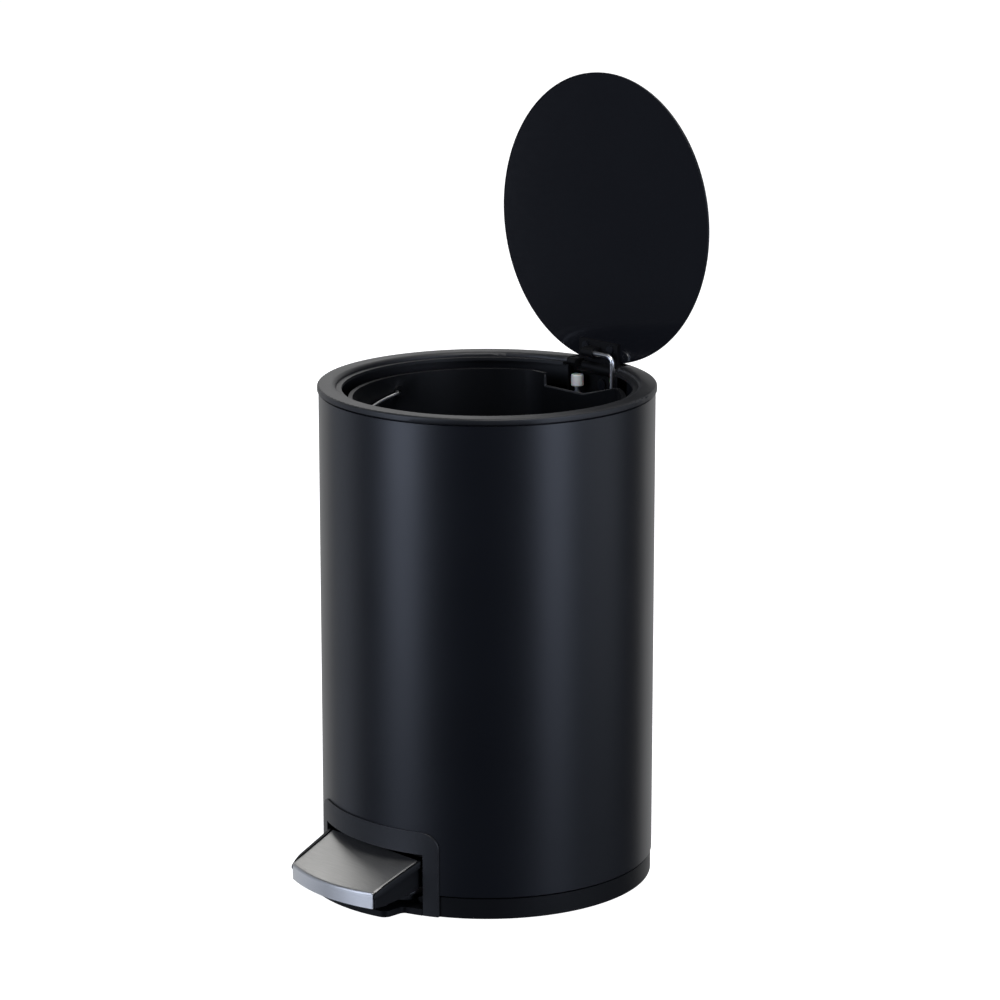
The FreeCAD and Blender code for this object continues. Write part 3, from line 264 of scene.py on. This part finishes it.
def finish_mesh(name, mesh, material, smooth_angle=35.0):
    """Smooth the faces, keep the hard edges, give the finish and put the piece in the scene."""
    mesh.materials.clear()
    mesh.materials.append(material)
    mesh.shade_smooth()
    mesh.set_sharp_from_angle(angle=math.radians(smooth_angle))
    piece = bpy.data.objects.new(name, mesh)
    bpy.context.scene.collection.objects.link(piece)
    return piece


def stand_for(piece, *nodes):
    """The piece moves with, and is seen in place of, the CAD nodes."""
    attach(piece, BODY_OF[nodes[0]])
    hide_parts(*nodes)
    return piece


def broken_edges(piece, width_mm, segments=2, angle=40.0):
    """Round the hard edges a little, as moulds and presses do."""
    bevel = piece.modifiers.new("edges", "BEVEL")
    bevel.width = width_mm * MM
    bevel.segments = segments
    bevel.limit_method = "ANGLE"
    bevel.angle_limit = math.radians(angle)
    bevel.use_clamp_overlap = True
    bevel.harden_normals = True


def dressed(node, name, material, edge_mm):
    """The CAD node's own form with merged faces, smooth shading and broken edges."""
    mesh = NODES[node].data.copy()
    work = bmesh.new()
    work.from_mesh(mesh)
    bmesh.ops.remove_doubles(work, verts=work.verts, dist=0.002 * MM)
    bmesh.ops.dissolve_limit(work, angle_limit=math.radians(0.5), verts=work.verts, edges=work.edges)
    work.to_mesh(mesh)
    work.free()
    piece = finish_mesh(name, mesh, material)
    if edge_mm:
        broken_edges(piece, edge_mm)
    return stand_for(piece, node)


def arc_points(centre, radius, start, end, steps):
    """Points on an arc in a plane, angles in degrees."""
    angles = [math.radians(start + (end - start) * i / steps) for i in range(steps + 1)]
    return [(centre[0] + radius * math.cos(a), centre[1] + radius * math.sin(a)) for a in angles]


def lathe(name, outline, material, segments=192, smooth_angle=35.0, closed=True):
    """Turn an outline of (radius, height) about the can's axis."""
    mesh = bpy.data.meshes.new(name)
    work = bmesh.new()
    rings = []
    for i in range(segments):
        a = 2 * math.pi * i / segments
        rings.append([work.verts.new((r * math.cos(a), r * math.sin(a), z)) for r, z in outline])
    last = len(outline) if closed else len(outline) - 1
    for i in range(segments):
        here, there = rings[i], rings[(i + 1) % segments]
        for k in range(last):
            work.faces.new((here[k], there[k], there[(k + 1) % len(outline)], here[(k + 1) % len(outline)]))
    bmesh.ops.remove_doubles(work, verts=work.verts, dist=0.001 * MM)
    bmesh.ops.recalc_face_normals(work, faces=work.faces)
    work.to_mesh(mesh)
    work.free()
    return finish_mesh(name, mesh, material, smooth_angle)


def tube(name, path, radius, material, sides=16):
    """A round wire along a list of points, with domed ends."""
    mesh = bpy.data.meshes.new(name)
    work = bmesh.new()
    rings = []
    side = None
    count = len(path)
    for i, point in enumerate(path):
        ahead = (path[min(i + 1, count - 1)] - path[max(i - 1, 0)]).normalized()
        if side is None:
            side = ahead.orthogonal().normalized()
        side = (side - ahead * side.dot(ahead)).normalized()
        other = ahead.cross(side)
        rings.append([work.verts.new(point + radius * (math.cos(a) * side + math.sin(a) * other))
                      for a in (2 * math.pi * k / sides for k in range(sides))])
    for here, there in zip(rings, rings[1:]):
        for k in range(sides):
            work.faces.new((here[k], here[(k + 1) % sides], there[(k + 1) % sides], there[k]))
    for ring, end, inner in ((rings[0], path[0], path[1]), (rings[-1], path[-1], path[-2])):
        tip = work.verts.new(end + (end - inner).normalized() * radius * 0.35)
        for k in range(sides):
            work.faces.new((ring[k], ring[(k + 1) % sides], tip))
    bmesh.ops.recalc_face_normals(work, faces=work.faces)
    work.to_mesh(mesh)
    work.free()
    return finish_mesh(name, mesh, material, 50)


# --- pieces --------------------------------------------------------------------------------------


def lid_pieces():
    """Steel lid with a turned edge, and the glossy liner held inside it."""
    low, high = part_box("lid_plate")
    radius = (high.x - low.x) / 2
    back = -hinge.y
    rise = ring_top - 2.3 * MM - hinge.z
    thick = 1.3 * MM
    skin = 0.5 * MM
    plate = [(0, rise + thick), (radius - 0.6 * MM, rise + thick)]
    plate += arc_points((radius - 0.6 * MM, rise + thick - 0.6 * MM), 0.6 * MM, 80, 0, 5)
    plate += [(radius, rise + 0.1 * MM), (radius - 0.1 * MM, rise), (radius - skin + 0.1 * MM, rise),
              (radius - skin, rise + 0.1 * MM), (radius - skin, rise + thick - skin),
              (0, rise + thick - skin)]
    liner_radius = radius - skin - 0.05 * MM
    liner = [(0, rise + 0.8 * MM), (liner_radius, rise + 0.8 * MM), (liner_radius, rise + 0.25 * MM),
             (liner_radius - 0.25 * MM, rise), (0, rise)]
    for name, node, outline, material in (("lid_skin", "lid_plate", plate, COAT),
                                          ("lid_gloss_liner", "lid_liner", liner, GLOSS)):
        piece = lathe(name, outline, material, closed=False)
        piece.data.transform(OPENED @ Matrix.Translation((0, back, 0)))
        stand_for(piece, node)


def shell():
    """Rolled tube with turned-in edges, open behind the bezel."""
    low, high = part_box("outer_shell")
    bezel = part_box("pedal_bezel")[1]
    radius, wall, roll = shell_radius, 0.6 * MM, 0.25 * MM
    window_side, window_top = bezel.x - 4.4 * MM, bezel.z - 10 * MM
    levels = [low.z + (window_top - low.z) * i / 8 for i in range(9)]
    levels += [window_top + (high.z - roll - window_top) * i / 40 for i in range(1, 41)]
    outside = [(radius - roll, low.z)] + [(radius, z) for z in [low.z + roll] + levels[1:]]
    outline = outside + [(radius - roll, high.z), (radius - wall, high.z)]
    outline += [(radius - wall, z) for r, z in reversed(outside)]
    edge = math.asin(window_side / radius)
    turns = [-math.pi / 2 + edge * (i / 30 - 1) for i in range(60)]
    turns += [-math.pi / 2 + edge + (2 * math.pi - 2 * edge) * i / 300 for i in range(300)]
    mesh = bpy.data.meshes.new("shell_skin")
    work = bmesh.new()
    columns = [[work.verts.new((r * math.cos(a), r * math.sin(a), z)) for r, z in outline] for a in turns]
    count = len(outline)
    for i, here in enumerate(columns):
        there = columns[(i + 1) % len(columns)]
        for k in range(count):
            top = max(outline[k][1], outline[(k + 1) % count][1])
            if i < 60 and top < window_top + 0.01 * MM:
                continue
            work.faces.new((here[k], there[k], there[(k + 1) % count], here[(k + 1) % count]))
    bmesh.ops.delete(work, geom=[v for v in work.verts if not v.link_faces], context="VERTS")
    rims = [e for e in work.edges if len(e.link_faces) == 1]
    bmesh.ops.holes_fill(work, edges=rims, sides=0)
    bmesh.ops.recalc_face_normals(work, faces=work.faces)
    work.to_mesh(mesh)
    work.free()
    stand_for(finish_mesh("shell_skin", mesh, COAT), "outer_shell")


def loft(name, rows, material, smooth_angle=35.0, closed_rows=False):
    """A skin over rows of points."""
    mesh = bpy.data.meshes.new(name)
    work = bmesh.new()
    grid = [[work.verts.new(point) for point in row] for row in rows]
    for here, there in zip(grid, grid[1:]):
        pairs = len(here) if closed_rows else len(here) - 1
        for k in range(pairs):
            work.faces.new((here[k], here[(k + 1) % len(here)], there[(k + 1) % len(here)], there[k]))
    if closed_rows:
        work.faces.new(grid[0])
        work.faces.new(list(reversed(grid[-1])))
    bmesh.ops.recalc_face_normals(work, faces=work.faces)
    work.to_mesh(mesh)
    work.free()
    return finish_mesh(name, mesh, material, smooth_angle)


PEDAL_ROUND = 85 * MM
PEDAL_SIDES = (32.9 * MM, 30.4 * MM)


def tread_side(y):
    """Half width of the steel tread at a place along the pedal."""
    low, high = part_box("pedal_cap")
    share = (high.y - y) / (high.y - low.y)
    return PEDAL_SIDES[0] + (PEDAL_SIDES[1] - PEDAL_SIDES[0]) * share


def tread_front(x):
    """Front edge of the tread: a round nose, almost level from corner to corner."""
    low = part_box("pedal_cap")[0]
    y = low.y + PEDAL_ROUND - math.sqrt(PEDAL_ROUND ** 2 - x * x)
    return y, low.z + 7.9 * MM + 0.3 * MM * (x / PEDAL_SIDES[1]) ** 2


def tread_point(across, along, lift=0.0, out=0.0):
    """A place on the tread: across from -1 to 1, along from 0 at the back to 1 at the fold."""
    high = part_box("pedal_cap")[1]
    front_y, front_z = tread_front(across * PEDAL_SIDES[1])
    y = high.y + (front_y - high.y) * along
    z = high.z + (front_z - high.z) * along
    x = across * (tread_side(y) + out)
    return Vector((x, y, z + lift))


def steel_tread():
    """Sheet tread: sides turned down a little, nose folded down into a lip."""
    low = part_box("pedal_cap")[0]
    fold, thick = 1.2 * MM, 0.9 * MM
    rows = []
    for i in range(97):
        across = -1 + 2 * i / 96
        sag = 0.45 * MM * max(0.0, (abs(across) - 0.962) / 0.038) ** 2
        row = [tread_point(across, k / 30 * 0.965, -sag) for k in range(31)]
        corner = tread_point(across, 1.0, -sag)
        slope = (row[-1] - row[0]).normalized()
        down = Vector((0, 0, -1))
        start, end = corner - slope * fold, corner + down * fold
        for k in range(9):
            t = k / 8
            row.append(start * (1 - t) ** 2 + corner * 2 * t * (1 - t) + end * t * t)
        row += [Vector((corner.x, corner.y, end.z + (low.z - end.z) * k / 6)) for k in range(1, 7)]
        rows.append(row)
    piece = loft("steel_tread", rows, TREAD, 60)
    sheet_wall = piece.modifiers.new("sheet", "SOLIDIFY")
    sheet_wall.thickness = thick
    sheet_wall.offset = -1
    middle_of_tread = piece.data.polygons[40 * 45]
    if middle_of_tread.normal.z < 0:
        piece.data.flip_normals()
    broken_edges(piece, 0.15, 2, 50)
    stand_for(piece, "pedal_cap")


def pedal_rims():
    """Plastic strips of the moulding that frame the steel on both sides."""
    for name, side in (("left", -1), ("right", 1)):
        rows = []
        for i in range(33):
            along = i / 32
            run_out = max(0.0, (along - 0.72) / 0.28) ** 2
            inner, outer = 0.2 * MM, (2.2 - 0.5 * along - 0.9 * run_out) * MM
            top, round_off = (0.35 - 1.5 * run_out) * MM, 0.45 * MM
            section = [(inner, -3 * MM), (inner, top - 0.2 * MM), (inner + 0.2 * MM, top),
                       (outer - round_off, top), (outer - 0.1 * MM, top - 0.12 * MM),
                       (outer, top - round_off), (outer, -3 * MM)]
            rows.append([tread_point(side, along, lift, out) for out, lift in section])
        # The rims take the darkened copy of the ABS: painted shade.
        piece = loft("pedal_rim_" + name, rows, LOW_ABS_DARKENED_FOR_SHADE, 40, True)
        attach(piece, "pedal")


def bucket_bead():
    """Rolled bead that the lowered rim of the bucket carries over the notch."""
    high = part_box("inner_bucket")[1]
    height, y = high.z - 0.75 * MM, 60.85 * MM
    dip = high.z - 7.2 * MM
    corners = [(-31, height), (-21.9, height), (-21.5, dip), (7.5, dip), (30.5, height), (32.6, height)]
    path = []
    for i, (x, z) in enumerate(corners):
        spot = Vector((x * MM, y, z))
        if 0 < i < len(corners) - 1:
            before = Vector((corners[i - 1][0] * MM, y, corners[i - 1][1]))
            after = Vector((corners[i + 1][0] * MM, y, corners[i + 1][1]))
            reach = 1.4 * MM
            a = spot + (before - spot).normalized() * min(reach, (before - spot).length * 0.45)
            b = spot + (after - spot).normalized() * min(reach, (after - spot).length * 0.45)
            path += [a * (1 - t) ** 2 + spot * 2 * t * (1 - t) + b * t * t for t in (0, 0.25, 0.5, 0.75, 1)]
        else:
            path.append(spot)
    # The bead takes the lighter, glossier ABS finish instead of the bucket's polypropylene: a painted highlight
    # along the lit rim edge.
    piece = tube("bucket_bead", path, 0.85 * MM, ABS)
    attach(piece, "bucket")


def bail():
    """Wire bail folded forward, its ends bent out through the bucket wall."""
    pivot = Vector(JOINTS["bail_swing"]["pos_m"])
    low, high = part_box("bail_handle")
    wire = high.z - pivot.z
    reach, drop = -low.y, pivot.z - low.z
    tilt = math.atan2(drop - wire, reach - wire)
    bow = (reach - wire) / math.cos(tilt)
    tip = high.x
    path = [Vector((-tip, 0, 0))]
    path += [Vector((-bow * math.cos(a), -bow * math.sin(a), 0)) for a in
             (math.radians(2.5 + 175 * i / 72) for i in range(73))]
    path.append(Vector((tip, 0, 0)))
    turn = Matrix.Translation(pivot) @ Matrix.Rotation(tilt, 4, "X")
    stand_for(tube("wire_bail", [turn @ p for p in path], wire, WIRE), "bail_handle")


def build():
    shell()
    dressed("rim_ring", "top_ring", ABS, 0.25)
    # The base shoe takes the darkened ABS copy: painted shade at the bottom of the can.
    dressed("base_tray", "base_shoe", LOW_ABS_DARKENED_FOR_SHADE, 0.4)
    dressed("pedal_bezel", "toe_bezel", ABS, 0.35)
    steel_tread()
    pedal_rims()
    bucket_bead()
    # The pedal moulding takes the darkened ABS copy: painted shade.
    dressed("pedal_body", "pedal_moulding", LOW_ABS_DARKENED_FOR_SHADE, 0.3)
    dressed("pedal_wires", "pedal_stiffeners", WIRE, 0)
    dressed("inner_bucket", "bucket", PP, 0.3)
    # The hinge bracket and arm take the shade-darkened black: painted shade under the ring.
    dressed("hinge_bracket", "hinge_bracket_pressing", HINGE_BLACK_DARKENED_FOR_SHADE, 0.3)
    dressed("hinge_arm", "lid_arm", HINGE_BLACK_DARKENED_FOR_SHADE, 0.25)
    dressed("lift_rod", "lift_wire", WIRE, 0)
    dressed("damper_cap", "damper_button", NYLON, 0.2)
    lid_pieces()
    bail()
    for node, thing in NODES.items():
        thing.data.materials.clear()
        thing.data.materials.append(FINISHES[SLOT_OF[node]])


# --- studio --------------------------------------------------------------------------------------

VIEW_TURN = math.radians(47.118)
VIEW_TILT = math.radians(13.823)
VIEW_REACH = 22.67 * shell_radius
AIM = Vector((0.052, 0.056, 2.2932)) * shell_radius


def camera():
    """Long lens, a little above, right of the pedal."""
    toward = Vector((math.sin(VIEW_TURN) * math.cos(VIEW_TILT), -math.cos(VIEW_TURN) * math.cos(VIEW_TILT),
                     math.sin(VIEW_TILT)))
    view = bpy.data.cameras.new("camera")
    view.sensor_width = 36
    view.lens = 136.63
    seat = bpy.data.objects.new("camera", view)
    seat.location = AIM + toward * VIEW_REACH
    seat.rotation_euler = (-toward).to_track_quat("-Z", "Y").to_euler()
    bpy.context.scene.collection.objects.link(seat)
    bpy.context.scene.camera = seat


def softbox(name, turn_deg, tilt_deg, reach, width, height, watts, tint="#ffffff"):
    """A rectangular light aimed at the can; its turn is counted from the camera, to the right."""
    aim = Vector((0, 0, ring_top / 2))
    turn, tilt = VIEW_TURN + math.radians(turn_deg), math.radians(tilt_deg)
    toward = Vector((math.sin(turn) * math.cos(tilt), -math.cos(turn) * math.cos(tilt), math.sin(tilt)))
    lamp = bpy.data.lights.new(name, "AREA")
    lamp.shape = "RECTANGLE"
    lamp.size, lamp.size_y = width, height
    lamp.energy = watts
    lamp.color = colour(tint)[:3]
    stand = bpy.data.objects.new(name, lamp)
    stand.location = aim + toward * reach
    stand.rotation_euler = (-toward).to_track_quat("-Z", "Y").to_euler()
    stand.visible_camera = False
    bpy.context.scene.collection.objects.link(stand)


def studio():
    """Pale floor, boxes and dimmer panels at both sides, a wide wall of light behind, soft ones above."""
    mesh = bpy.data.meshes.new("floor")
    half = 9.0
    corners = [(-half, -half, 0), (half, -half, 0), (half, half, 0), (-half, half, 0)]
    mesh.from_pydata(corners, [], [(0, 1, 2, 3)])
    floor = bpy.data.objects.new("floor", mesh)
    bpy.context.scene.collection.objects.link(floor)
    pale, _, bsdf = new_material("white paper", Roughness=0.9, Emission_Strength=1.0)
    bsdf.inputs["Base Color"].default_value = colour("#c8c8c8")
    bsdf.inputs["Emission Color"].default_value = colour("#ffffff")
    mesh.materials.append(pale)
    floor.visible_glossy = False
    floor.visible_diffuse = False
    floor.visible_shadow = False
    softbox("left_box", -57, 10, 1.8, 0.72, 1.5, 17, "#dbe6ff")
    softbox("right_box", 46, 10, 1.8, 0.64, 1.5, 13, "#dbe6ff")
    softbox("left_fill", -112, 0, 2.0, 1.0, 2.0, 4.1, "#e6eeff")
    softbox("right_fill", 84, 8, 1.9, 1.1, 1.6, 5.5, "#e6eeff")
    softbox("back_wall", 180, 4, 3.2, 7.0, 5.2, 74)
    softbox("tread_panel", -163, 40, 1.8, 0.8, 0.8, 3.0)
    softbox("front_top", 15, 62, 1.7, 0.8, 0.8, 13)
    softbox("top_box", 150, 72, 1.6, 1.4, 1.4, 7)
    world = bpy.data.worlds.new("studio")
    world.use_nodes = True
    world.node_tree.nodes["Background"].inputs["Color"].default_value = colour("#dfe6f0")
    world.node_tree.nodes["Background"].inputs["Strength"].default_value = 0.05
    bpy.context.scene.world = world
    bpy.context.scene.view_settings.view_transform = "Standard"
    bpy.context.scene.view_settings.look = "None"


build()
camera()
studio()
